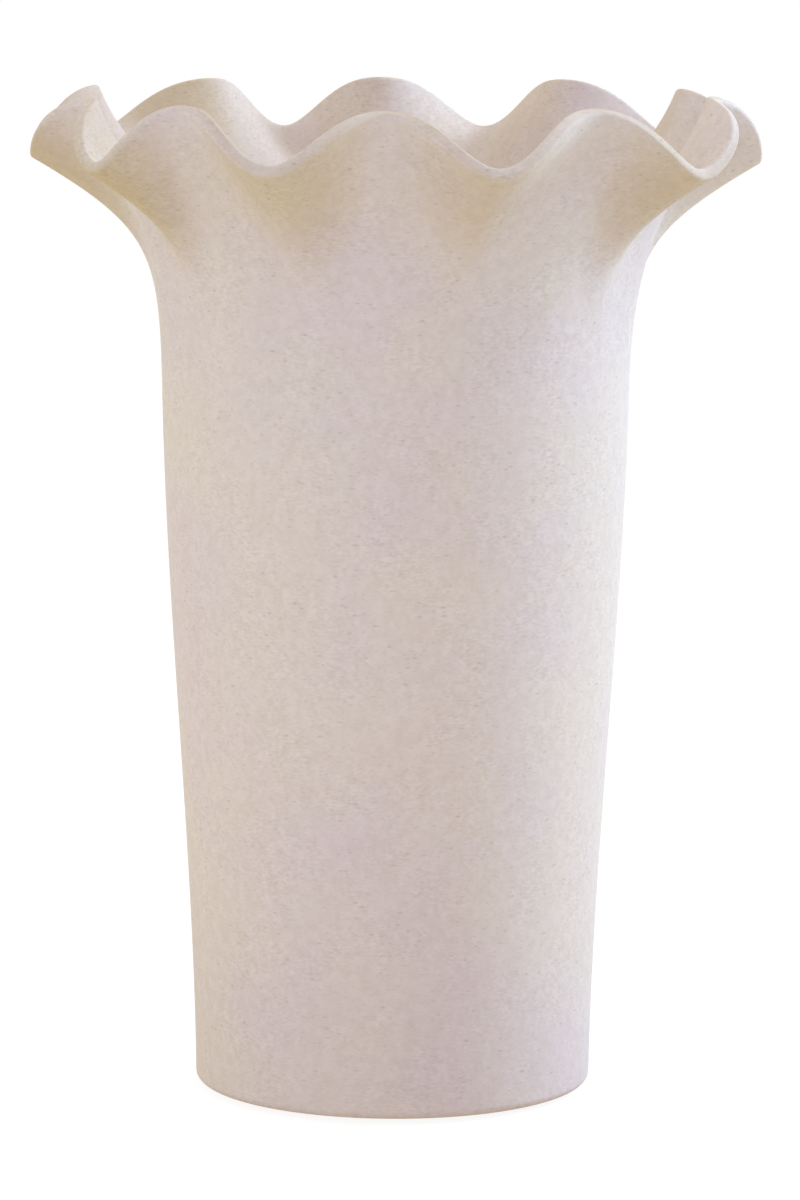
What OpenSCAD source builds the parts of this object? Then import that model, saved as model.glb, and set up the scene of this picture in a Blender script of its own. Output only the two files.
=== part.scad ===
// Fluted stoneware vase, in millimetres. It stands on the plane z = 0, centred on the Z axis, and its
// front faces -Y. Angles round the vase run from the front towards +X.

/* [Overall] */
// Height from the table to the top of the highest flute
vase_h = 355.6; // [320:0.1:400]
// Thickness of the body's wall
wall_t = 5; // [4:0.1:7]

/* [Foot] */
// Outer radius of the wall at the foot
base_r = 70.6; // [62:0.1:76]
// Rounding of the foot's outer edge
foot_round = 3; // [2:0.1:6]
// Width of the flat ring that carries the vase
foot_ring_w = 17; // [14:0.1:25]
// Depth of the recess inside the foot ring
recess_h = 2.5; // [1:0.1:4]
// Thickness of the vase's floor
floor_t = 7; // [5:0.1:10]
// Radius of the cove between the floor and the wall
cove_r = 10; // [5:0.1:14]
// Height of the base section above the foot ring
base_h = 30; // [26:0.1:60]

/* [Body] */
// Outer radius of the wall at the shoulder, where the flare starts
shoulder_r = 82.7; // [76:0.1:90]
// Height of the shoulder above the table
shoulder_h = 248.6; // [220:0.1:260]

/* [Seams] */
// Height of the rebate where two sections overlap
lap_h = 4; // [2:0.1:8]
// Room for the slip in the upright part of a rebate
slip_gap = 0.15; // [0.1:0.01:0.4]

/* [Flutes] */
// Number of flutes round the rim
flute_count = 10; // [6:1:12]
// Radius of the rim's middle line where a flute rises
crest_r = 113; // [108:0.1:120]
// Radius of the rim's middle line where it dips outwards
trough_r = 128.5; // [122:0.1:135]
// Height between the rises and the dips of the rim
wave_h = 20.5; // [5:0.1:28]
// Thickness of the wall at the lip
lip_t = 4.6; // [3:0.1:6.5]
// Rounding of the lip's two edges
lip_round = 1.4; // [0.5:0.1:1.4]

/* [Glaze] */
// Thickness of the waterproof glaze inside
glaze_t = 0.5; // [0.2:0.05:1]
// Height of bare clay between the glaze line and the shoulder
glaze_drop = 13; // [5:0.1:60]

/* [Pads] */
// Radius of a felt pad
pad_r = 5.5; // [4:0.1:6.4]
// Thickness of a felt pad
pad_t = 1.6; // [1:0.1:3]
// Bare clay between a pad and the inner edge of the foot ring
pad_margin = 0.5; // [0.2:0.1:1]

/* [Hidden] */
$fn = 180;

// How far each rise and dip leans round the rim, as a share of half a flute
crest_lean_shares = [-0.12, 0, 0.4, 0.32, 0.15, 0.18, 0.1, 0, 0.05, -0.2];
trough_lean_shares = [-0.15, 0.02, 0.36, 0.2, 0.2, 0.05, 0.1, -0.03, 0.08, -0.04];
// How far each rise and dip reaches from the axis, as a share of its radius
crest_reach_shares = [0.98, 1, 0.99, 1, 1, 1.03, 1.01, 1.02, 0.99, 1.01];
trough_reach_shares = [1.01, 0.99, 0.995, 1, 1.01, 1.01, 1.01, 0.99, 1, 1.02];
// How much each rise and dip is higher than the plain wave, as a share of the wave's height
crest_rise_shares = [0, 0, 0.02, -0.03, 0, -0.03, 0, 0.01, -0.03, 0.01];
trough_rise_shares = [0.1, -0.06, -0.06, 0.05, 0.04, 0.04, 0.12, 0.03, 0.02, 0.12];
// How much wider the rises are than the dips in radius, for each half flute from the front
bend_shares = [-0.12, -0.12, -0.12, -0.8, -0.4, -0.12, -0.12, -0.12, -0.12, -0.12,
    -0.12, -0.12, -0.12, -0.12, -0.12, -0.5, -0.3, -0.12, -0.12, -0.12];
// How much wider the rises are than the dips in height
lift_share = 0.29;
// Lean of the rim from the vertical at a rise and at a dip, in degrees
crest_flare = 19;
trough_flare = 60;
// Handles of the flare's curve, as shares of its height: at the shoulder, then at the lip
crest_handle_shares = [0.62, 0.3];
trough_handle_shares = [0.59, 0.59];
// Lean of the wall from the vertical, as a share of its height, at the foot and at the shoulder
foot_slope_share = 0.012;
shoulder_slope_share = 0.02;

// Steps of the outlines: up the wall, up the base, along a rounding, up the flare, round an edge of the
// lip and along half a flute
wall_steps = 16;
base_steps = 2;
round_steps = 8;
flare_steps = 13;
lip_steps = 2;
flute_steps = 9;
// Small share of a step over which the flare's direction is measured
nudge_share = 0.001;

foot_z = pad_t;
recess_z = foot_z + recess_h;
floor_z = recess_z + floor_t;
cove_z = floor_z + cove_r;
seam_z = foot_z + base_h;
seam_lap_z = seam_z + lap_h;
shoulder_lap_z = shoulder_h + lap_h;
glaze_z = shoulder_h - glaze_drop;
foot_flat_r = base_r - foot_round;
foot_bore_r = foot_flat_r - foot_ring_w;
pad_ring_r = foot_bore_r + pad_margin + pad_r;
pad_angles = [45, 135, 225, 315];
cove_centre_r = inside_r(cove_z) - cove_r;
half_flute = 180 / flute_count;
lip_top = lip_round + (lip_t / 2 - lip_round) * sin(crest_flare);
rim_z = vase_h - lip_top - wave_h * max(crest_rise_shares);

clay = [0.83, 0.79, 0.76];
glaze = [0.93, 0.91, 0.87];
felt = [0.55, 0.52, 0.48];

function lerp(a, b, share) = a + (b - a) * share;
function is_even(k) = k % 2 == 0;
// Share of one flute, counted from the front: the tables are used again where there are more flutes
function pick(shares, flute) = shares[(flute % flute_count) % len(shares)];

// Outer radius of the wall at a height: one smooth curve from the foot to the shoulder
function outside_r(z) =
    let (run = shoulder_h - foot_z)
    let (u = (z - foot_z) / run)
    let (foot_pull = u * pow(1 - u, 2) * foot_slope_share)
    let (shoulder_pull = u * u * (u - 1) * shoulder_slope_share)
    lerp(base_r, shoulder_r, u * u * (3 - 2 * u)) + run * (foot_pull + shoulder_pull);
function inside_r(z) = outside_r(z) - wall_t;
// Radius of the upright face in the middle of a rebate
function lap_r(z) = outside_r(z) - wall_t / 2;

// Points of an outline from one height to another on the outside or on the inside of the wall
function outside_line(z0, z1, steps) =
    [for (i = [0:steps]) let (z = lerp(z0, z1, i / steps)) [outside_r(z), z]];
function inside_line(z0, z1, steps, inset = 0) =
    [for (i = [0:steps]) let (z = lerp(z0, z1, i / steps)) [inside_r(z) - inset, z]];
function reversed(line) = [for (i = [len(line) - 1:-1:0]) line[i]];
function arc(centre, r, from, to) =
    [for (i = [0:round_steps])
        let (a = lerp(from, to, i / round_steps))
        centre + r * [cos(a), sin(a)]];
// The cove, from the wall down to the floor, moved inwards by a coat's thickness
function cove_line(inset = 0) = arc([cove_centre_r, cove_z], cove_r - inset, 0, -90);

// Angle of rise or dip k of the rim, counted from the front: an even k is a rise, an odd k a dip
function turn_at(k) =
    let (lean_shares = is_even(k) ? crest_lean_shares : trough_lean_shares)
    half_flute * (k + pick(lean_shares, floor(k / 2)));
// Where the lip's middle line ends at a rise and at a dip, as its radius and its height
function crest_end(k) =
    [crest_r * pick(crest_reach_shares, k), rim_z + wave_h * pick(crest_rise_shares, k)];
function trough_end(k) =
    [trough_r * pick(trough_reach_shares, k), rim_z - wave_h * (1 - pick(trough_rise_shares, k))];

// Middle line of the flare in its own plane, from the shoulder to one end at the lip
function flare_point(end, lean, handles, s) =
    let (start = [lap_r(shoulder_h), shoulder_h])
    let (rise = end[1] - start[1])
    let (low = start + rise * handles[0] * [shoulder_slope_share, 1])
    let (high = end - rise * handles[1] * [sin(lean), cos(lean)])
    let (b = 1 - s)
    b * b * b * start + 3 * s * b * b * low + 3 * s * s * b * high + s * s * s * end;

// Middle of the collar's wall: half flute k, share t along it, share s from the shoulder to the lip
function collar_middle(k, t, s) =
    let (angle = lerp(turn_at(k), turn_at(k + 1), t))
    let (wave = is_even(k) ? cos(180 * t) : -cos(180 * t))
    let (crest = flare_point(crest_end(ceil(k / 2)), crest_flare, crest_handle_shares, s))
    let (trough = flare_point(trough_end(floor(k / 2)), trough_flare, trough_handle_shares, s))
    let (hump = 1 - wave * wave)
    let (bend = bend_shares[(k % (2 * flute_count)) % len(bend_shares)])
    let (r = lerp(trough[0], crest[0], (1 + wave + bend * hump) / 2))
    let (z = lerp(trough[1], crest[1], (1 + wave + lift_share * hump) / 2))
    [r * sin(angle), -r * cos(angle), z];
function unit(v) = v / norm(v);
function collar_along(k, t, s) =
    collar_middle(k, t + nudge_share, s) - collar_middle(k, t - nudge_share, s);
function collar_up(k, t, s) =
    collar_middle(k, t, min(1, s + nudge_share)) - collar_middle(k, t, s - nudge_share);
function collar_outward(k, t, s) = unit(cross(collar_along(k, t, s), collar_up(k, t, s)));
// A point of the collar's skin: its side is 1 outside and -1 inside, and at the lip it is turned by an
// angle round that side's rounded edge
function collar_skin(k, t, s, side, over = 0) =
    let (out = side * collar_outward(k, t, s))
    let (tip = side * unit(cross(out, collar_along(k, t, s))))
    let (half = lerp(wall_t, lip_t, s) / 2)
    collar_middle(k, t, s) + (half - lip_round) * out + lip_round * (cos(over) * out + sin(over) * tip);
function ring_point(k, t, r, z) =
    let (angle = lerp(turn_at(k), turn_at(k + 1), t))
    [r * sin(angle), -r * cos(angle), z];
// One closed section of the collar: up its outside, over the lip, down its inside, round the rebate
function collar_section(k, t) = concat(
    [ring_point(k, t, shoulder_r, shoulder_h)],
    [for (i = [1:flare_steps]) collar_skin(k, t, i / flare_steps, 1)],
    [for (i = [1:lip_steps]) collar_skin(k, t, 1, 1, 90 * i / lip_steps)],
    [for (i = [lip_steps:-1:1]) collar_skin(k, t, 1, -1, 90 * i / lip_steps)],
    [for (i = [flare_steps:-1:1]) collar_skin(k, t, i / flare_steps, -1)],
    [ring_point(k, t, inside_r(shoulder_lap_z), shoulder_lap_z)],
    [ring_point(k, t, lap_r(shoulder_h), shoulder_lap_z)],
    [ring_point(k, t, lap_r(shoulder_h), shoulder_h)]);

// Foot, floor and the short upright wall that the body stands on
module base_section() {
    color(clay)
    rotate_extrude()
    polygon(concat(
        [[0, recess_z], [foot_bore_r, recess_z], [foot_bore_r, foot_z]],
        arc([foot_flat_r, foot_z + foot_round], foot_round, -90, 0),
        outside_line(foot_z + 2 * foot_round, seam_z, base_steps),
        [[lap_r(seam_z) - slip_gap, seam_z], [lap_r(seam_z) - slip_gap, seam_lap_z]],
        [[inside_r(seam_lap_z), seam_lap_z]],
        cove_line(),
        [[0, floor_z]]));
}

// Tapered tube between the base and the collar, rebated at both ends
module body_wall() {
    color(clay)
    rotate_extrude()
    polygon(concat(
        outside_line(seam_z, shoulder_h, wall_steps),
        [[lap_r(shoulder_h) - slip_gap, shoulder_h], [lap_r(shoulder_h) - slip_gap, shoulder_lap_z]],
        [[inside_r(shoulder_lap_z), shoulder_lap_z], [inside_r(shoulder_h), shoulder_h]],
        reversed(inside_line(seam_lap_z, glaze_z, wall_steps)),
        [[lap_r(seam_z), seam_lap_z], [lap_r(seam_z), seam_z]]));
}

// Flared rim, pressed into flutes
module fluted_collar() {
    sections = [for (k = [0:2 * flute_count - 1], j = [0:flute_steps - 1])
        collar_section(k, j / flute_steps)];
    turns = len(sections);
    loop = len(sections[0]);
    points = [for (section = sections, p = section) p];
    faces = [for (i = [0:turns - 1], j = [0:loop - 1])
        let (here = i * loop, next = ((i + 1) % turns) * loop, up = (j + 1) % loop)
        each [[here + j, here + up, next + up], [here + j, next + up, next + j]]];
    color(clay)
    polyhedron(points, faces);
}

// Glaze coat on the floor and the inside of the wall, up to the glaze line
module inner_glaze() {
    color(glaze)
    rotate_extrude()
    polygon(concat(
        [[0, floor_z]],
        reversed(cove_line()),
        inside_line(seam_lap_z, glaze_z, wall_steps),
        reversed(inside_line(seam_lap_z, glaze_z, wall_steps, glaze_t)),
        cove_line(glaze_t),
        [[0, floor_z + glaze_t]]));
}

// Round felt pad stuck under the foot ring
module foot_pad(index) {
    color(felt)
    rotate(pad_angles[index])
    translate([pad_ring_r, 0, 0])
    cylinder(h = pad_t, r = pad_r);
}

base_section();
body_wall();
fluted_collar();
inner_glaze();
foot_pad(0);  // foot_pad_1
foot_pad(1);  // foot_pad_2
foot_pad(2);  // foot_pad_3
foot_pad(3);  // foot_pad_4
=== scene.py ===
# %% [markdown]
# A fluted stoneware vase. The real one is thrown on a wheel as a straight, slightly tapered tube, its
# rim is opened and pressed into ten soft flutes by hand, and it is fired matt and sandy, without an
# outer glaze. The model is made in the same order: an outline is spun round the axis as on the wheel,
# and then the rim's points are pressed into flutes by a rule. Everything is in metres, the vase stands
# on z = 0 with its axis on Z, and its front looks along -Y.

# %% Load the frame
import functools
import math

import bmesh
import bpy
from mathutils import Color, Matrix, Vector, noise


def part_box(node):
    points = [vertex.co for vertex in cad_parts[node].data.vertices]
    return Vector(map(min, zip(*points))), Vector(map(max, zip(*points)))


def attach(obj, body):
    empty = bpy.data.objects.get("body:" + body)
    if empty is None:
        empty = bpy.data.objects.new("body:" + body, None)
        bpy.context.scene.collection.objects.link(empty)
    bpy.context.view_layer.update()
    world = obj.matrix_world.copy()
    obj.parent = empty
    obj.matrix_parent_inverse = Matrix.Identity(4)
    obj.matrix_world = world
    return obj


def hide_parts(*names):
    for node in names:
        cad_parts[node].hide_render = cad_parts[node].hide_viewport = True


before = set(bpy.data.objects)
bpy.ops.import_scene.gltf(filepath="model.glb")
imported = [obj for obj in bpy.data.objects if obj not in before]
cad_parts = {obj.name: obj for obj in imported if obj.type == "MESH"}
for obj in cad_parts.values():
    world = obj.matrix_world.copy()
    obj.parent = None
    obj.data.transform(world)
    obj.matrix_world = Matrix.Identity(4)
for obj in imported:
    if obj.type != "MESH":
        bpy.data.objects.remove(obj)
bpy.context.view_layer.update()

# %% [markdown]
# The frame holds the vase's eight pieces at their real size, so the main sizes are read from their
# boxes instead of being typed again: where the foot, the seams, the shoulder, the glaze line and the
# rim lie. The body's own box gives the widest radius of the wall, and a pad's box its place and size.

# %% Sizes from the frame
base_low, base_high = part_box("base_section")
wall_low, wall_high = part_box("body_wall")
collar_low, collar_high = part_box("fluted_collar")
coat_low, coat_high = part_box("inner_glaze")

FOOT_Z = base_low[2]
SEAM_Z = wall_low[2]
SEAM_LAP_Z = base_high[2]
SHOULDER_Z = collar_low[2]
SHOULDER_LAP_Z = wall_high[2]
SHOULDER_R = wall_high[0]
FLOOR_Z = coat_low[2]
GLAZE_Z = coat_high[2]
TOP_Z = collar_high[2]
MM_PER_M = 1000
print(f"shoulder: radius {SHOULDER_R * MM_PER_M:.1f} mm at {SHOULDER_Z * MM_PER_M:.1f} mm")
print(f"top of the rim at {TOP_Z * MM_PER_M:.1f} mm")

# %% [markdown]
# The photograph was taken from about two metres away with a long lens, a little above the rim and
# looking down at the vase, so that the mouth shows as a narrow band between the front and the rear
# flutes. A long lens keeps the foot's curve as flat as it is there. The camera is turned a fraction of
# a degree round its own axis, because the vase leans by that much in the picture.

# %% Camera
CAMERA_PLACE = Vector((0.0019, -2.035, 0.4688))
CAMERA_DOWN = math.radians(8.222)
CAMERA_ROLL = math.radians(0.298)
LENS_MM = 173.1
SENSOR_MM = 36

lens = bpy.data.cameras.new("camera")
lens.lens = LENS_MM
lens.sensor_fit = "VERTICAL"
lens.sensor_height = SENSOR_MM
camera = bpy.data.objects.new("camera", lens)
bpy.context.scene.collection.objects.link(camera)
look = Matrix.Rotation(math.pi / 2 - CAMERA_DOWN, 4, "X") @ Matrix.Rotation(CAMERA_ROLL, 4, "Z")
camera.matrix_world = Matrix.Translation(CAMERA_PLACE) @ look
bpy.context.scene.camera = camera
print("camera:", [round(value, 3) for value in camera.location])

# %% [markdown]
# A material is a small graph of nodes. All three finishes start the same way: a Principled shader with
# its even values typed on its own sockets, and the piece's Object coordinates for the patterns. Every
# piece lies at the origin, so these are metres on the vase itself, a pattern has its real size, and it
# runs on over the seams between the pieces. Nothing repeats on clay, glaze or wool, so most patterns
# are noise: its scale is one over the size of its lumps, a Mapping node draws it out, and a Map Range
# node spreads its middle values, where most of them lie, over the range that is wanted.

# %% Helpers for patterns
def new_finish(name, roughness, specular):
    """A material with a Principled shader, and its nodes, links, shader and Object coordinates."""
    material = bpy.data.materials.new(name)
    material.use_nodes = True
    nodes = material.node_tree.nodes
    shader = nodes["Principled BSDF"]
    shader.inputs["Roughness"].default_value = roughness
    shader.inputs["Specular IOR Level"].default_value = specular
    place = nodes.new("ShaderNodeTexCoord").outputs["Object"]
    return material, nodes, material.node_tree.links, shader, place


def noise_at(nodes, links, place, size, detail=2.0, roughness=0.5):
    """Noise whose lumps are about this size in metres."""
    node = nodes.new("ShaderNodeTexNoise")
    node.inputs["Scale"].default_value = 1 / size
    node.inputs["Detail"].default_value = detail
    node.inputs["Roughness"].default_value = roughness
    links.new(place, node.inputs["Vector"])
    return node.outputs["Fac"]


def stretched(nodes, links, place, factors):
    """Coordinates scaled along X, Y and Z, which makes a pattern longer where the factor is under 1."""
    node = nodes.new("ShaderNodeMapping")
    node.inputs["Scale"].default_value = factors
    links.new(place, node.inputs["Vector"])
    return node.outputs["Vector"]


def remap(nodes, links, value, source, target=(0, 1)):
    """The value's source range spread smoothly over the target range, and held at its ends."""
    node = nodes.new("ShaderNodeMapRange")
    node.interpolation_type = "SMOOTHSTEP"
    links.new(value, node.inputs["Value"])
    node.inputs["From Min"].default_value, node.inputs["From Max"].default_value = source
    node.inputs["To Min"].default_value, node.inputs["To Max"].default_value = target
    return node.outputs["Result"]


# %% [markdown]
# A graph also reckons with what the patterns give, and mixes colours by it. The nodes for this take
# plain values as well as the outputs of other nodes, so one helper fills a socket either way. Blender's
# Mix node has sockets for numbers, vectors and colours side by side, and the ones for colours are named
# once by their places in the list. A Bump node gives fine relief: it bends the shader's normal, which
# is cheaper than real points. A finish's own colours are written as a picture program shows them and
# made linear here, because light adds up in linear values.

# %% Helpers for colours and relief
MIX_SHARE, MIX_FIRST, MIX_SECOND, MIX_RESULT = 0, 6, 7, 2
BRIGHTEST = 255


def fill(links, socket, value):
    """Gives a socket its value, which is a plain one or an output of another node."""
    if isinstance(value, bpy.types.NodeSocket):
        links.new(value, socket)
    else:
        socket.default_value = value


def calculate(nodes, links, operation, first, second):
    """One step of arithmetic on two values."""
    node = nodes.new("ShaderNodeMath")
    node.operation = operation
    fill(links, node.inputs[0], first)
    fill(links, node.inputs[1], second)
    return node.outputs["Value"]


def blend_colours(nodes, links, share, first, second, blend="MIX"):
    """Two colours mixed by a share."""
    node = nodes.new("ShaderNodeMix")
    node.data_type = "RGBA"
    node.blend_type = blend
    fill(links, node.inputs[MIX_SHARE], share)
    fill(links, node.inputs[MIX_FIRST], first)
    fill(links, node.inputs[MIX_SECOND], second)
    return node.outputs[MIX_RESULT]


def add_bump(nodes, links, shader, height, depth):
    """Fine relief of this depth in metres, for the shader's normal."""
    node = nodes.new("ShaderNodeBump")
    node.inputs["Strength"].default_value = 1.0
    node.inputs["Distance"].default_value = depth
    links.new(height, node.inputs["Height"])
    links.new(node.outputs["Normal"], shader.inputs["Normal"])


def linear(red, green, blue):
    """A colour as a picture program shows it, from 0 to 255, in the linear values that nodes take."""
    shown = Color((red, green, blue)) / BRIGHTEST
    return (*shown.from_srgb_to_scene_linear(), 1)


# %% [markdown]
# Unglazed stoneware is one pale, warm clay, but no part of it is one colour. It drifts between beige and
# mauve in soft clouds, and a finer mottle lies over them. A photograph wrapped round the vase would be
# quicker, but it would show a seam, so noise gives both: the clouds mix the two colours, and the mottle
# multiplies what they make by a shade that is slightly darker or lighter.

# %% Clouds of the stoneware
BEIGE = linear(220, 206, 189)
MAUVE = linear(218, 203, 192)
CLOUD_SIZE = 0.05
CLOUD_RANGE = (0.38, 0.68)
MOTTLE_SIZE = 0.004
MOTTLE_RANGE = (0.3, 0.7)
MOTTLE_DARK = (0.97, 0.96, 0.94, 1)
MOTTLE_LIGHT = (1.02, 1.02, 1.03, 1)


def shade_by(nodes, links, colour, shade):
    return blend_colours(nodes, links, 1.0, colour, shade, "MULTIPLY")


def clay_colour(nodes, links, place):
    """The clay's colour without its sand."""
    clouds = remap(nodes, links, noise_at(nodes, links, place, CLOUD_SIZE, detail=3), CLOUD_RANGE)
    colour = blend_colours(nodes, links, clouds, BEIGE, MAUVE)
    mottle = remap(nodes, links, noise_at(nodes, links, place, MOTTLE_SIZE, detail=3), MOTTLE_RANGE)
    mottle_shade = blend_colours(nodes, links, mottle, MOTTLE_DARK, MOTTLE_LIGHT)
    return shade_by(nodes, links, colour, mottle_shade)


print(f"clouds of {CLOUD_SIZE * MM_PER_M:.0f} mm under a mottle of {MOTTLE_SIZE * MM_PER_M:.0f} mm")

# %% [markdown]
# The clay is full of fine sand of about a millimetre, denser in some places than in others and slightly
# drawn out sideways by the wheel, and brown grains of two sizes lie in the surface. The sand is noise
# again, and a coarser noise says how much of it shows. A Voronoi pattern gives the grains, because it
# has one point in each of its cells: a grain fades with the distance from that point, and the cell's
# own colour, different for each, makes some grains stronger than others.

# %% Sand and grains of the stoneware
GRAIN_BROWN = linear(165, 145, 128)
DRAWN = (0.6, 0.6, 1.4)
SAND_SIZE = 0.0012
SAND_RANGE = (0.25, 0.75)
SAND_SHADES = (0.92, 1.07)
SAND_PATCH_SIZE = 0.018
SAND_PATCH_RANGE = (0.35, 0.7)
SAND_PATCH_SHARES = (0.35, 1)
# Spacing, radius and strength of the two sizes of grain.
GRAINS = ((0.0036, 0.00045, 0.5), (0.0018, 0.00028, 0.4))
# A grain fades from its middle, to nothing at this many times its radius.
GRAIN_FADE = 2


def add_sand(nodes, links, place, colour, sand):
    """Sand over the clay's colour, denser in some places than in others."""
    sand_shade = remap(nodes, links, sand, SAND_RANGE, SAND_SHADES)
    patches = noise_at(nodes, links, place, SAND_PATCH_SIZE)
    sandy = remap(nodes, links, patches, SAND_PATCH_RANGE, SAND_PATCH_SHARES)
    return blend_colours(nodes, links, sandy, colour, shade_by(nodes, links, colour, sand_shade))


def add_grains(nodes, links, place, colour, spacing, radius, strength):
    """Grains of this radius, one in each cell of a lattice of this spacing, strong or faint."""
    grains = nodes.new("ShaderNodeTexVoronoi")
    grains.inputs["Scale"].default_value = 1 / spacing
    links.new(place, grains.inputs["Vector"])
    reach = GRAIN_FADE * radius / spacing
    near = remap(nodes, links, grains.outputs["Distance"], (0, reach), (strength, 0))
    seen = calculate(nodes, links, "MULTIPLY", near, grains.outputs["Color"])
    return blend_colours(nodes, links, seen, colour, GRAIN_BROWN)


print(f"sand of {SAND_SIZE * MM_PER_M:.1f} mm and {len(GRAINS)} sizes of grain")

# %% [markdown]
# Under the flutes and in their hollows the clay is painted darker and more yellow, as painted shade
# with warm bounce light. The collar says where, by a value at each of its points, which an Attribute
# node reads, and the painted shade's colour multiplies the clay's. The sand is also the relief, which
# makes the surface look dry.

# %% Stoneware
# The colour of the painted shade, which multiplies the clay's: darker and warmer, as shade with warm
# bounce light.
PAINTED_SHADE_TINT = (0.79, 0.69, 0.42, 1)
SAND_DEPTH = 0.00005


def make_stoneware():
    material, nodes, links, shader, place = new_finish("stoneware", roughness=0.85, specular=0.3)
    drawn = stretched(nodes, links, place, DRAWN)
    sand = noise_at(nodes, links, drawn, SAND_SIZE, roughness=0.6)
    colour = add_sand(nodes, links, place, clay_colour(nodes, links, place), sand)
    for spacing, radius, strength in GRAINS:
        colour = add_grains(nodes, links, drawn, colour, spacing, radius, strength)

    # Painted shade: the clay is darker and warmer where the collar's attribute says, under the flutes
    # and in their hollows.
    painted_shade = nodes.new("ShaderNodeAttribute")
    painted_shade.attribute_name = "painted_shade"
    painted_shade_colour = shade_by(nodes, links, colour, PAINTED_SHADE_TINT)
    colour = blend_colours(nodes, links, painted_shade.outputs["Fac"], colour, painted_shade_colour)
    links.new(colour, shader.inputs["Base Color"])
    add_bump(nodes, links, shader, sand, SAND_DEPTH)
    return material


stoneware = make_stoneware()
print("finish:", stoneware.name, len(stoneware.node_tree.nodes), "nodes")

# %% [markdown]
# Stoneware alone sweats, so a vase that holds water is glazed inside: a thin, clear coat, poured in and
# poured out again, which leaves the clay a little paler and smooth. It shines, and it lies slightly
# uneven, like a thick varnish. The clay's own shader could have a clear coat instead, but the glaze
# stops at a line inside the vase, so it is a piece of its own with a finish of its own.

# %% Glaze
GLAZE_PALE = linear(234, 221, 205)
GLAZE_THICK = linear(226, 211, 193)
GLAZE_LUMP = 0.02
GLAZE_POOL_RANGE = (0.35, 0.7)
GLAZE_DEPTH = 0.0003


def make_glaze():
    material, nodes, links, shader, place = new_finish("glaze", roughness=0.16, specular=0.5)
    lumps = noise_at(nodes, links, place, GLAZE_LUMP)
    pooled = remap(nodes, links, lumps, GLAZE_POOL_RANGE)
    links.new(blend_colours(nodes, links, pooled, GLAZE_PALE, GLAZE_THICK), shader.inputs["Base Color"])
    add_bump(nodes, links, shader, lumps, GLAZE_DEPTH)
    return material


glaze = make_glaze()
print("finish:", glaze.name)

# %% [markdown]
# Felt is pressed wool: no weave, but short fibres that lie every way. Hairs would be slow, and at this
# size they wouldn't show. Noise that is stretched along one direction and then along another gives two
# crossing layers of fibre, and a little sheen on the shader gives the soft light edge of wool.

# %% Felt
FELT_PALE = linear(156, 149, 139)
FELT_DARK = linear(126, 119, 110)
FELT_SHEEN = 0.4
FIBRE_SIZE = 0.0004
FIBRE_ALONG = (0.2, 1, 1)
FIBRE_ACROSS = (1, 0.2, 1)
FIBRE_RANGE = (0.4, 0.7)
FIBRE_DEPTH = 0.0002


def make_felt():
    material, nodes, links, shader, place = new_finish("felt", roughness=0.95, specular=0.1)
    shader.inputs["Sheen Weight"].default_value = FELT_SHEEN
    along = noise_at(nodes, links, stretched(nodes, links, place, FIBRE_ALONG), FIBRE_SIZE)
    across = noise_at(nodes, links, stretched(nodes, links, place, FIBRE_ACROSS), FIBRE_SIZE)
    fibres = calculate(nodes, links, "MAXIMUM", along, across)
    share = remap(nodes, links, fibres, FIBRE_RANGE)
    links.new(blend_colours(nodes, links, share, FELT_DARK, FELT_PALE), shader.inputs["Base Color"])
    add_bump(nodes, links, shader, fibres, FIBRE_DEPTH)
    return material


felt = make_felt()
print("finish:", felt.name)

# %% [markdown]
# On the wheel, a pot's whole shape is one outline that goes round. In bmesh the outline is a few points
# joined by edges, at the front of the vase, and the spin operator carries it round the axis. Each step
# goes over the whole mesh, so 480 steps in a row are slow. Here the outline is spun through one narrow
# sector, and a second spin, which duplicates, repeats that sector all the way round. Points that come
# out twice, between the sectors and on the axis, are merged.

# %% Helpers for turned pieces
SECTORS = 24
SECTOR_STEPS = 20
MERGE_GAP = 0.000001


def outline(points, closed):
    """A bmesh with one line through these (radius, height) points, at the front of the vase."""
    bm = bmesh.new()
    line = [bm.verts.new((0, -radius, height)) for radius, height in points]
    ends = line[1:] + line[:1] if closed else line[1:]
    for first, second in zip(line, ends):
        bm.edges.new((first, second))
    return bm, line


def round_corner(bm, corner, radius, segments):
    """Rounds one corner of an outline."""
    bmesh.ops.bevel(
        bm, geom=[corner], offset=radius, segments=segments, profile=0.5, affect="VERTICES", material=-1)


def spin_geometry(bm, angle, steps, use_duplicate):
    bmesh.ops.spin(
        bm, geom=bm.verts[:] + bm.edges[:] + bm.faces[:], cent=(0, 0, 0), axis=(0, 0, 1), dvec=(0, 0, 0),
        angle=angle, steps=steps, use_merge=False, use_duplicate=use_duplicate)


def spin_outline(bm):
    """Carries the outline through one sector, and repeats the sector round the axis."""
    sector = 2 * math.pi / SECTORS
    spin_geometry(bm, sector, SECTOR_STEPS, False)
    spin_geometry(bm, 2 * math.pi - sector, SECTORS - 1, True)
    bmesh.ops.remove_doubles(bm, verts=bm.verts, dist=MERGE_GAP)


print("steps round the axis:", SECTORS * SECTOR_STEPS)

# %% [markdown]
# A finished mesh becomes an object that rides with the vase, and the piece of the frame that it stands
# for is hidden. Its faces are turned to look outwards and shaded smooth, and corners of more than 40
# degrees are marked sharp, so that the light doesn't blur over them. In a closed shape each edge joins
# two faces, so the edges that don't are counted: the print has to say that there are none.

# %% Helpers for placing a piece
SHARP_ANGLE = math.radians(40)


def shade_faces(bm):
    """Turns the faces outwards, shades them smooth and marks the sharp corners."""
    bmesh.ops.recalc_face_normals(bm, faces=bm.faces)
    for face in bm.faces:
        face.smooth = True
    for edge in bm.edges:
        edge.smooth = edge.is_manifold and edge.calc_face_angle() < SHARP_ANGLE


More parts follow.
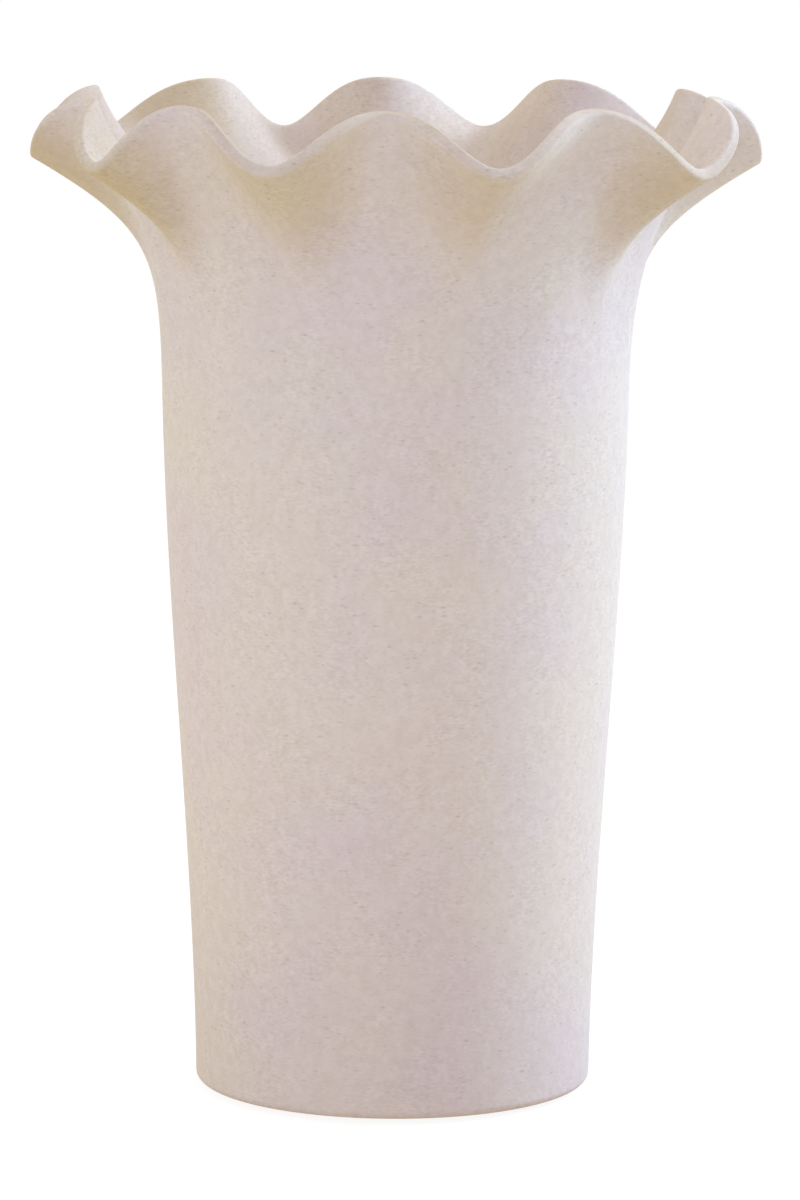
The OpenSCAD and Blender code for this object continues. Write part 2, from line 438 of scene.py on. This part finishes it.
def place_piece(bm, name, material, node):
    """Makes the bmesh an object that stands for one piece of the frame."""
    shade_faces(bm)
    open_edges = sum(not edge.is_manifold for edge in bm.edges)
    triangles = sum(len(face.verts) - 2 for face in bm.faces)
    mesh = bpy.data.meshes.new(name)
    bm.to_mesh(mesh)
    bm.free()
    mesh.materials.append(material)
    piece = bpy.data.objects.new(name, mesh)
    bpy.context.scene.collection.objects.link(piece)
    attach(piece, "root")
    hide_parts(node)
    print(f"{name}: {triangles} triangles, {open_edges} open edges")


# %% [markdown]
# The wall widens from the foot to the shoulder along one soft S: it leaves the foot nearly upright,
# grows by about 12 mm, and is nearly upright again where the flare begins. Its outline is one cubic
# whose end slopes are given, so that the collar can carry on from it without a bend. The inside
# follows the outside at the thickness of the wall.

# %% Outline of the wall
BASE_R = 0.0706
WALL = 0.005
FOOT_SLOPE_SHARE = 0.012
SHOULDER_SLOPE_SHARE = 0.02
SLIP_GAP = 0.00015
WALL_STEPS = 48


def lerp(start, end, share):
    return start + (end - start) * share


def outside_r(height):
    """Outer radius of the wall at a height."""
    run = SHOULDER_Z - FOOT_Z
    up = (height - FOOT_Z) / run
    foot_pull = up * (1 - up) ** 2 * FOOT_SLOPE_SHARE
    shoulder_pull = up ** 2 * (up - 1) * SHOULDER_SLOPE_SHARE
    return lerp(BASE_R, SHOULDER_R, up ** 2 * (3 - 2 * up)) + run * (foot_pull + shoulder_pull)


def wall_line(low, high, depth, steps=WALL_STEPS):
    """Points up the wall at a depth under its outer face."""
    heights = [lerp(low, high, step / steps) for step in range(steps + 1)]
    return [(outside_r(height) - depth, height) for height in heights]


print(f"radius at the foot: {outside_r(FOOT_Z) * MM_PER_M:.1f} mm")
print(f"radius at the shoulder: {outside_r(SHOULDER_Z) * MM_PER_M:.1f} mm")

# %% [markdown]
# The base is the first thing that is thrown: a thick floor with a short upright wall. When it has
# stiffened, it is turned upside down and a recess is cut under it, which leaves a flat foot ring to
# stand on. A cove joins the floor to the wall inside. The outline runs from the middle of the recess
# round the foot, up to the rebate that takes the wall, and back over the floor. The foot's two edges
# are rounded by a bevel on their corners of the outline.

# %% Base
FOOT_ROUND = 0.003
FOOT_RING_W = 0.017
RECESS_H = 0.0025
RECESS_ROUND = 0.0008
COVE_R = 0.010
ROUND_STEPS = 10
BASE_STEPS = 8


def cove(depth=0.0):
    """The cove from the wall down to the floor, as points of a quarter circle."""
    centre_z = FLOOR_Z + COVE_R
    centre_r = outside_r(centre_z) - WALL - COVE_R
    turns = [math.pi / 2 * step / ROUND_STEPS for step in range(ROUND_STEPS + 1)]
    return [(centre_r + (COVE_R - depth) * math.cos(turn), centre_z - (COVE_R - depth) * math.sin(turn))
            for turn in turns]


def make_base():
    recess_z = FOOT_Z + RECESS_H
    lap_r = outside_r(SEAM_Z) - WALL / 2 - SLIP_GAP
    bore_r = BASE_R - FOOT_ROUND - FOOT_RING_W
    points = [(0, recess_z), (bore_r, recess_z), (bore_r, FOOT_Z), (BASE_R, FOOT_Z)]
    points += wall_line(FOOT_Z + 2 * FOOT_ROUND, SEAM_Z, 0, BASE_STEPS)
    points += [(lap_r, SEAM_Z), (lap_r, SEAM_LAP_Z), (outside_r(SEAM_LAP_Z) - WALL, SEAM_LAP_Z)]
    points += cove() + [(0, FLOOR_Z)]
    bm, line = outline(points, closed=False)
    round_corner(bm, line[2], RECESS_ROUND, ROUND_STEPS)
    round_corner(bm, line[3], FOOT_ROUND, ROUND_STEPS)
    spin_outline(bm)
    place_piece(bm, "stoneware_base", stoneware, "base_section")


make_base()

# %% [markdown]
# The body is a long tube whose wall is 5 mm thick. It stands in the rebate of the base, and has a
# rebate of its own at the top. On the real vase the seams are wiped smooth with slip before the
# firing, so both rebates lie inside, and outside the two pieces meet edge to edge.

# %% Body
def make_body():
    upper_r = outside_r(SHOULDER_Z) - WALL / 2 - SLIP_GAP
    lower_r = outside_r(SEAM_Z) - WALL / 2
    points = wall_line(SEAM_Z, SHOULDER_Z, 0)
    points += [(upper_r, SHOULDER_Z), (upper_r, SHOULDER_LAP_Z)]
    points += wall_line(SEAM_LAP_Z, SHOULDER_LAP_Z, WALL)[::-1]
    points += [(lower_r, SEAM_LAP_Z), (lower_r, SEAM_Z)]
    bm = outline(points, closed=True)[0]
    spin_outline(bm)
    place_piece(bm, "stoneware_body", stoneware, "body_wall")


make_body()

# %% [markdown]
# The collar carries the flutes. Ten times round the rim the wall rises to a crest and dips outwards to
# a trough. Each was pressed with a finger, so none is like its neighbour: the shares below say how far
# each one leans round the rim, how far it reaches out and how high it rises. In between, the rim
# follows a cosine. The bend shares, one for each half flute, change how far out it lies half way, and
# the lift share raises it there, which makes the rises broad and the dips narrow.

# %% Rim of the collar
FLUTES = 10
HALF_FLUTE = math.pi / FLUTES
CREST_R = 0.113
TROUGH_R = 0.1285
WAVE_H = 0.0205
LIP = 0.0046
LIP_ROUND = 0.0014
CREST_LEAN_SHARES = (-0.12, 0, 0.4, 0.32, 0.15, 0.18, 0.1, 0, 0.05, -0.2)
TROUGH_LEAN_SHARES = (-0.15, 0.02, 0.36, 0.2, 0.2, 0.05, 0.1, -0.03, 0.08, -0.04)
CREST_REACH_SHARES = (0.98, 1, 0.99, 1, 1, 1.03, 1.01, 1.02, 0.99, 1.01)
TROUGH_REACH_SHARES = (1.01, 0.99, 0.995, 1, 1.01, 1.01, 1.01, 0.99, 1, 1.02)
CREST_RISE_SHARES = (0, 0, 0.02, -0.03, 0, -0.03, 0, 0.01, -0.03, 0.01)
TROUGH_RISE_SHARES = (0.1, -0.06, -0.06, 0.05, 0.04, 0.04, 0.12, 0.03, 0.02, 0.12)
BEND_SHARES = (
    -0.12, -0.12, -0.12, -0.8, -0.4, -0.12, -0.12, -0.12, -0.12, -0.12,
    -0.12, -0.12, -0.12, -0.12, -0.12, -0.5, -0.3, -0.12, -0.12, -0.12)
LIFT_SHARE = 0.29
CREST_FLARE = math.radians(19)
# How far the lip of a crest rises above the point where the middle of its wall ends.
LIP_TOP = LIP_ROUND + (LIP / 2 - LIP_ROUND) * math.sin(CREST_FLARE)
RIM_Z = TOP_Z - LIP_TOP - WAVE_H * max(CREST_RISE_SHARES)


def turn_angle(half):
    """Angle from the front of crest or trough number half: an even number is a crest."""
    shares = TROUGH_LEAN_SHARES if half % 2 else CREST_LEAN_SHARES
    return HALF_FLUTE * (half + shares[half // 2 % FLUTES])


def crest_end(flute):
    """Where the middle of the lip ends at a crest, as radius and height."""
    rise = WAVE_H * CREST_RISE_SHARES[flute % FLUTES]
    return Vector((CREST_R * CREST_REACH_SHARES[flute % FLUTES], RIM_Z + rise))


def trough_end(flute):
    """Where the middle of the lip ends at a trough, as radius and height."""
    drop = WAVE_H * (1 - TROUGH_RISE_SHARES[flute % FLUTES])
    return Vector((TROUGH_R * TROUGH_REACH_SHARES[flute % FLUTES], RIM_Z - drop))


print(f"{FLUTES} flutes, {math.degrees(HALF_FLUTE):.0f} degrees from a crest to a trough")

# %% [markdown]
# Seen from the side, the flare is a curve that starts upright at the shoulder and leans out at the lip:
# by 19 degrees at a crest and by 60 at a trough. A Bezier curve with two handles has just these
# properties, so there is one curve for each crest and trough, and the wall in between is their mix.

# %% Flare of the collar
TROUGH_FLARE = math.radians(60)
CREST_HANDLE_SHARES = (0.62, 0.3)
TROUGH_HANDLE_SHARES = (0.59, 0.59)
NUDGE_SHARE = 0.001


def flare_point(end, lean, handle_shares, up):
    """Point of one flare curve, as radius and height: up is 0 at the shoulder and 1 at the lip."""
    start = Vector((outside_r(SHOULDER_Z) - WALL / 2, SHOULDER_Z))
    rise = end[1] - start[1]
    low = start + rise * handle_shares[0] * Vector((SHOULDER_SLOPE_SHARE, 1))
    high = end - rise * handle_shares[1] * Vector((math.sin(lean), math.cos(lean)))
    down = 1 - up
    return down ** 3 * start + 3 * up * down ** 2 * low + 3 * up ** 2 * down * high + up ** 3 * end


@functools.cache
def crest_point(flute, up):
    return flare_point(crest_end(flute), CREST_FLARE, CREST_HANDLE_SHARES, up)


@functools.cache
def trough_point(flute, up):
    return flare_point(trough_end(flute), TROUGH_FLARE, TROUGH_HANDLE_SHARES, up)


def rim_angle(turn):
    """Angle from the front at a place round the rim, counted in half flutes."""
    half = math.floor(turn)
    return lerp(turn_angle(half), turn_angle(half + 1), turn - half)


def on_circle(angle, radius, height):
    return Vector((radius * math.sin(angle), -radius * math.cos(angle), height))


def wall_middle(turn, up):
    """Middle of the fluted wall: turn counts half flutes from the front, up is 0 to 1."""
    half = math.floor(turn)
    wave = math.cos(math.pi * turn)
    hump = 1 - wave ** 2
    bend = BEND_SHARES[half % (2 * FLUTES)]
    crest = crest_point((half + 1) // 2, up)
    trough = trough_point(half // 2, up)
    radius = lerp(trough[0], crest[0], (1 + wave + bend * hump) / 2)
    height = lerp(trough[1], crest[1], (1 + wave + LIFT_SHARE * hump) / 2)
    return on_circle(rim_angle(turn), radius, height)


# %% [markdown]
# The collar is made as it is on the wheel. First comes a straight tube with a lip and the rebate at
# its lower end: a closed outline, whose two long sides are subdivided and whose top corners are
# rounded by a bevel, spun round the axis. The round of its lip stands above the height of the rim,
# and follows the wall's lean when the flutes are pressed.

# %% Tube of the collar
LIP_STEPS = 8
FLARE_STEPS = 56


def make_tube():
    """The collar before it is pressed."""
    outer_r = SHOULDER_R
    inner_r = SHOULDER_R - WALL
    lap_r = SHOULDER_R - WALL / 2
    points = [(outer_r, SHOULDER_Z), (outer_r, TOP_Z + LIP_ROUND), (inner_r, TOP_Z + LIP_ROUND)]
    points += [(inner_r, SHOULDER_LAP_Z), (lap_r, SHOULDER_LAP_Z), (lap_r, SHOULDER_Z)]
    bm, line = outline(points, closed=True)
    for corner in line[1:3]:
        round_corner(bm, corner, LIP_ROUND, LIP_STEPS)
    bmesh.ops.remove_doubles(bm, verts=bm.verts, dist=MERGE_GAP)
    long_sides = [edge for edge in bm.edges if edge.calc_length() > TOP_Z - SHOULDER_LAP_Z - WALL]
    bmesh.ops.subdivide_edges(bm, edges=long_sides, cuts=FLARE_STEPS - 1)
    spin_outline(bm)
    return bm


tube = make_tube()
print("tube:", len(tube.verts), "points")

# %% [markdown]
# The collar gets painted shade: the clay is made darker and more yellow where it lies in shade and
# takes warm bounce light, most under the troughs, where the wall faces down, and in the hollows inside
# the crests, there a little to one side. Each trough and crest has its own share of it, and the lip has
# the mix of the wall on both of its sides. The pairs of numbers say where a share begins and where it
# is full: by the cosine of the wave, by the tilt of the wall, and by how far up the flare the point
# lies.

# %% Painted shade on the collar
# Share of painted shade under each trough, where the wall faces down.
TROUGH_PAINTED_SHADE_SHARES = (0.36, 0.58, 0.25, 0.36, 0.36, 0.4, 0.5, 0.65, 0.72, 0.4)
UNDERSIDE_WAVE = (-1, 0.7)
UNDERSIDE_TILT = (0.1, 0.75)
UNDERSIDE_RUN = (0.25, 0.95)
CREST_PAINTED_SHADE_SHARES = (0.36, 0.3, 0.2, 0.3, 0.35, 0.37, 0.6, 0.3, 0.17, 0.3)
HOLLOW_WAVE = (-0.2, 0.9)
HOLLOW_RUN = (0.3, 0.9)
HOLLOW_SHADE_SHIFT = 0.32


def ease(value, start, end):
    """0 below start, 1 above end, and smooth in between."""
    share = min(1, max(0, (value - start) / (end - start)))
    return share ** 2 * (3 - 2 * share)


def painted_shade_share(turn, up, across, outwards):
    """How much painted shade a point gets: across is 0 on the inner face and 1 on the outer."""
    # Painted shade: strongest under the troughs where the wall faces down, and in the hollows inside the
    # crests.
    trough = ease(-math.cos(math.pi * turn), *UNDERSIDE_WAVE)
    outside = TROUGH_PAINTED_SHADE_SHARES[math.floor(turn / 2) % FLUTES] * trough
    outside *= ease(-outwards.z, *UNDERSIDE_TILT) * ease(up, *UNDERSIDE_RUN)
    hollow = ease(math.cos(math.pi * (turn - HOLLOW_SHADE_SHIFT)), *HOLLOW_WAVE)
    inside = CREST_PAINTED_SHADE_SHARES[round((turn - HOLLOW_SHADE_SHIFT) / 2) % FLUTES] * hollow * ease(up, *HOLLOW_RUN)
    return lerp(inside, outside, across)


print("most fumed share:", max(TROUGH_PAINTED_SHADE_SHARES + CREST_PAINTED_SHADE_SHARES))

# %% [markdown]
# Now every point of the tube is pressed. Its height in the tube says how far up the flare it goes, and
# its distance from the middle of the wall is kept, square to the bent wall, apart from an even thinning
# towards the lip. Its share of the way up is rounded, so that all points of one ring find the same
# curves in the cache. Points of the rebate and the seam only turn round the axis with their flute, so
# that they still fit the body. The same step notes each point's share of painted shade, as the
# attribute that the stoneware reads.

# %% Press the flutes
UP_DIGITS = 6


def press_flutes(bm):
    """Moves every point of the straight tube to its place in the fluted wall."""
    middle_r = SHOULDER_R - WALL / 2
    # Each point's share of the painted shade, which the stoneware reads.
    painted_shade = bm.verts.layers.float.new("painted_shade")
    for vert in bm.verts:
        turn = math.atan2(vert.co.x, -vert.co.y) % (2 * math.pi) / HALF_FLUTE
        radius = math.hypot(vert.co.x, vert.co.y)
        inside_rebate = vert.co.z < SHOULDER_LAP_Z + MERGE_GAP and radius < SHOULDER_R - MERGE_GAP
        if inside_rebate or vert.co.z < SHOULDER_Z + MERGE_GAP:
            vert.co = on_circle(rim_angle(turn), radius, vert.co.z)
            continue
        up = round(min(1, (vert.co.z - SHOULDER_Z) / (TOP_Z - SHOULDER_Z)), UP_DIGITS)
        middle = wall_middle(turn, up)
        along = wall_middle(turn + NUDGE_SHARE, up) - wall_middle(turn - NUDGE_SHARE, up)
        upwards = middle - wall_middle(turn, up - NUDGE_SHARE)
        outwards = along.cross(upwards).normalized()
        tip = outwards.cross(along).normalized()
        over_lip = max(0, vert.co.z - TOP_Z)
        thinner = lerp(1, LIP / WALL, up)
        vert[painted_shade] = painted_shade_share(turn, up, (radius - middle_r) / WALL + 0.5, outwards)
        vert.co = middle + (radius - middle_r) * thinner * outwards + over_lip * tip


press_flutes(tube)
place_piece(tube, "stoneware_collar", stoneware, "fluted_collar")

# %% [markdown]
# The glaze coat covers the floor, the cove and the wall up to the throat. Its outline follows the
# inside of the clay and comes back half a millimetre further in. Poured glaze never stops at a level
# line, so after the spin its upper edge is moved down in slow waves, taken from smooth noise.

# %% Glaze coat
GLAZE_T = 0.0005
GLAZE_ROUND_SHARE = 0.8
GLAZE_EDGE_BAND = 0.02
GLAZE_EDGE_DROP = 0.004
GLAZE_EDGE_WAVE = 0.05


def smooth_noise(place, size):
    """Noise from 0 to 1 whose lumps are about this size in metres, the same on every run."""
    return noise.noise(place / size) / 2 + 0.5


def make_coat():
    points = [(0, FLOOR_Z)] + cove()[::-1]
    points += wall_line(SEAM_LAP_Z, GLAZE_Z, WALL)
    edge_corner = len(points)
    points += wall_line(SEAM_LAP_Z, GLAZE_Z, WALL + GLAZE_T)[::-1]
    points += cove(GLAZE_T) + [(0, FLOOR_Z + GLAZE_T)]
    bm, line = outline(points, closed=False)
    round_corner(bm, line[edge_corner], GLAZE_T * GLAZE_ROUND_SHARE, ROUND_STEPS // 2)
    spin_outline(bm)
    for vert in bm.verts:
        in_band = max(0, (vert.co.z - GLAZE_Z) / GLAZE_EDGE_BAND + 1)
        wave = smooth_noise(vert.co.xy.resized(3), GLAZE_EDGE_WAVE)
        vert.co.z -= GLAZE_EDGE_DROP * in_band ** 2 * wave
    place_piece(bm, "glaze_coat", glaze, "inner_glaze")


make_coat()

# %% [markdown]
# Four round felt pads are stuck under the foot ring, because raw stoneware scratches a table. Each one
# is cut with a punch from a sheet: a short cylinder whose two rims are a little soft. A cone with two
# equal radii makes the cylinder, and a bevel softens its rims. Its flat faces are inset so that there
# are points near the rim, and the cut edge is made slightly uneven.

# %% Felt pads
FOOT_PADS = 4
PAD_SEGMENTS = 64
PAD_SOFT = 0.0003
PAD_SOFT_STEPS = 3
PAD_INSET_SHARE = 0.25
PAD_UNEVEN = 0.00012
PAD_FUZZ_SIZE = 0.001


def make_pad(number):
    low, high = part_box(f"foot_pad_{number}")
    middle = (Vector(low) + Vector(high)) / 2
    radius = (high[0] - low[0]) / 2
    bm = bmesh.new()
    bmesh.ops.create_cone(
        bm, cap_ends=True, segments=PAD_SEGMENTS, radius1=radius, radius2=radius, depth=high[2] - low[2],
        matrix=Matrix.Translation(middle))
    rims = [edge for edge in bm.edges if abs(edge.verts[0].co.z - edge.verts[1].co.z) < MERGE_GAP]
    bmesh.ops.bevel(
        bm, geom=rims, offset=PAD_SOFT, segments=PAD_SOFT_STEPS, profile=0.5, affect="EDGES",
        material=-1)
    caps = [face for face in bm.faces if len(face.verts) > 4]
    bmesh.ops.inset_region(bm, faces=caps, thickness=radius * PAD_INSET_SHARE)
    for vert in bm.verts:
        out = Vector((vert.co.x - middle.x, vert.co.y - middle.y, 0))
        vert.co -= out / radius * PAD_UNEVEN * smooth_noise(vert.co, PAD_FUZZ_SIZE)
    place_piece(bm, f"felt_pad_{number}", felt, f"foot_pad_{number}")


for number in range(1, FOOT_PADS + 1):
    make_pad(number)

# %% [markdown]
# The photograph has a white ground. Here the floor and the world are white only for the rays that the
# camera sends, straight on or by way of a gloss, so the white shows but doesn't light the clay. A Light
# Path node tells what kind of ray has come, and both graphs, the floor's and the world's, end with the
# same choice by it.

# %% White ground
def seen_rays(nodes, links):
    """1 for the rays whose ground is to be white: straight from the camera, or by a gloss."""
    path = nodes.new("ShaderNodeLightPath")
    seen = path.outputs["Is Camera Ray"]
    for name in ("Is Glossy Ray", "Is Transmission Ray"):
        seen = calculate(nodes, links, "MAXIMUM", seen, path.outputs[name])
    return seen


def show_white(nodes, links, light, white, output):
    """Ends a graph: the seen rays find the white, and all others the light."""
    choice = nodes.new("ShaderNodeMixShader")
    is_seen, unseen_side, seen_side = choice.inputs
    links.new(seen_rays(nodes, links), is_seen)
    links.new(light.outputs[0], unseen_side)
    links.new(white.outputs[0], seen_side)
    links.new(choice.outputs[0], nodes.new(output).inputs["Surface"])


# %% [markdown]
# For the light on the vase the floor is a pale board that glows by itself: dimmer and warmer close to
# the foot, where the vase stands in its own shade, which gives the undersides of the flutes their warm
# tone, brightest a little further out, and dim again beyond. A colour ramp over the distance from the
# axis holds this. Sideways the distance counts for more, so that less light comes from there.

# %% Glow of the floor
BOARD_R = 1.2
BOARD_STRETCH = (1.5, 1, 1)
# Distance as a share of BOARD_R, and the light's colour there.
BOARD_COLOURS = (
    (0.2, (0.62, 0.53, 0.44)), (0.3, (1.12, 1.07, 0.87)), (0.62, (1.12, 1.07, 0.87)),
    (0.75, (0.52, 0.53, 0.49)))
# A new stop starts here, between the ramp's own two, and gets its place afterwards.
NEW_STOP = 0.5


def board_glow(nodes, links):
    """The board's own light, by the distance from the axis."""
    distance = nodes.new("ShaderNodeVectorMath")
    distance.operation = "LENGTH"
    place = nodes.new("ShaderNodeTexCoord").outputs["Object"]
    links.new(stretched(nodes, links, place, BOARD_STRETCH), distance.inputs[0])
    ramp = nodes.new("ShaderNodeValToRGB")
    links.new(calculate(nodes, links, "DIVIDE", distance.outputs["Value"], BOARD_R), ramp.inputs["Fac"])
    stops = ramp.color_ramp.elements
    while len(stops) < len(BOARD_COLOURS):
        stops.new(NEW_STOP)
    for stop, (position, colour) in zip(stops, BOARD_COLOURS):
        stop.position = position
        stop.color = (*colour, 1)
    glow = nodes.new("ShaderNodeEmission")
    links.new(ramp.outputs["Color"], glow.inputs["Color"])
    return glow


print("colours of the glowing board:", len(BOARD_COLOURS))

# %% [markdown]
# The floor itself is one flat square. Under its white it keeps a part of its real shading, and with it
# the vase's soft shadow: a Diffuse shader gives that part, and an Emission shader lifts it to white.

# %% Floor
FLOOR_HALF = 4.0
FLOOR_GLOW = 0.85
FLOOR_SHADED = (0.22, 0.22, 0.22, 1)


def make_floor():
    material = bpy.data.materials.new("floor")
    material.use_nodes = True
    nodes, links = material.node_tree.nodes, material.node_tree.links
    nodes.clear()
    glow = nodes.new("ShaderNodeEmission")
    glow.inputs["Strength"].default_value = FLOOR_GLOW
    shaded = nodes.new("ShaderNodeBsdfDiffuse")
    shaded.inputs["Color"].default_value = FLOOR_SHADED
    white = nodes.new("ShaderNodeAddShader")
    links.new(glow.outputs[0], white.inputs[0])
    links.new(shaded.outputs[0], white.inputs[1])
    show_white(nodes, links, board_glow(nodes, links), white, "ShaderNodeOutputMaterial")

    bm = bmesh.new()
    bmesh.ops.create_grid(bm, x_segments=1, y_segments=1, size=FLOOR_HALF)
    mesh = bpy.data.meshes.new("floor")
    bm.to_mesh(mesh)
    bm.free()
    mesh.materials.append(material)
    floor = bpy.data.objects.new("floor", mesh)
    bpy.context.scene.collection.objects.link(floor)


make_floor()
print("floor:", FLOOR_HALF * 2, "m wide")

# %% [markdown]
# Much of the light is even and warm and comes from all round, as from the walls of a pale room: the
# world gives it. On top of it, soft cool glows low over the horizon stand for the room's windows: one
# behind the camera, one on the left, and dimmer ones at the back, so that the vase is lit from every
# side. Each glow is brightest in one direction and falls off with the fourth power of the cosine. Its
# azimuth is in degrees, from the front towards +X.

# %% Light of the room
SKY = (0.70, 0.64, 0.42)
WHITE = (1, 1, 1, 1)
# Azimuth and colour of each glow.
GLOWS = (
    (0, (0.43, 0.69, 2.1)), (-90, (0.83, 1.04, 1.62)), (-135, (0.4, 0.4, 0.44)), (180, (0.4, 0.55, 1.2)))
GLOW_POWER = 4


def glow_light(nodes, links, direction, azimuth, colour):
    """A soft glow round one direction of the horizon, as a colour."""
    along = nodes.new("ShaderNodeVectorMath")
    along.operation = "DOT_PRODUCT"
    links.new(direction, along.inputs[0])
    along.inputs[1].default_value = on_circle(math.radians(azimuth), 1, 0)
    positive = calculate(nodes, links, "MAXIMUM", along.outputs["Value"], 0)
    falling = calculate(nodes, links, "POWER", positive, GLOW_POWER)
    light = nodes.new("ShaderNodeVectorMath")
    light.operation = "SCALE"
    light.inputs[0].default_value = colour
    links.new(falling, light.inputs["Scale"])
    return light.outputs["Vector"]


def make_world():
    world = bpy.data.worlds.new("studio")
    world.use_nodes = True
    nodes, links = world.node_tree.nodes, world.node_tree.links
    nodes.clear()
    direction = nodes.new("ShaderNodeTexCoord").outputs["Generated"]
    total = nodes.new("ShaderNodeCombineXYZ")
    for socket, value in zip(total.inputs, SKY):
        socket.default_value = value
    for azimuth, colour in GLOWS:
        both = nodes.new("ShaderNodeVectorMath")
        links.new(total.outputs["Vector"], both.inputs[0])
        links.new(glow_light(nodes, links, direction, azimuth, colour), both.inputs[1])
        total = both
    room = nodes.new("ShaderNodeBackground")
    links.new(total.outputs["Vector"], room.inputs["Color"])
    white = nodes.new("ShaderNodeBackground")
    white.inputs["Color"].default_value = WHITE
    show_white(nodes, links, room, white, "ShaderNodeOutputWorld")
    bpy.context.scene.world = world


make_world()
print("glows in the room:", len(GLOWS))

# %% [markdown]
# Two soft lamps on the right and a little behind let the right side climb towards white: a low one for
# the body and a high one for the inside of the flutes. Each is a wide, flat face, because a small lamp
# would draw hard edges of shadow under the flutes. The camera doesn't see the lamps themselves. The
# Standard view shows the colours as they are, without a film's curve.

# %% Lamps
SOFTBOX_DISTANCE = 1.2
SOFTBOX_SIZE = (0.5, 0.8)
# Name, azimuth, height, power and colour of each lamp.
SOFTBOXES = (
    ("low_softbox", 100, 0.15, 9.0, (0.21, 0.46, 1.0)),
    ("high_softbox", 108, 1.0, 17.0, (0.56, 0.72, 1.0)))


def add_softbox(name, azimuth, height, power, colour):
    """A flat lamp that looks at the middle of the vase."""
    light = bpy.data.lights.new(name, "AREA")
    light.shape = "RECTANGLE"
    light.size, light.size_y = SOFTBOX_SIZE
    light.energy = power
    light.color = colour
    lamp = bpy.data.objects.new(name, light)
    lamp.location = on_circle(math.radians(azimuth), SOFTBOX_DISTANCE, height)
    aim = Vector((0, 0, TOP_Z / 2)) - lamp.location
    lamp.rotation_euler = aim.to_track_quat("-Z", "Y").to_euler()
    lamp.visible_camera = False
    bpy.context.scene.collection.objects.link(lamp)


for softbox in SOFTBOXES:
    add_softbox(*softbox)
bpy.context.scene.view_settings.view_transform = "Standard"
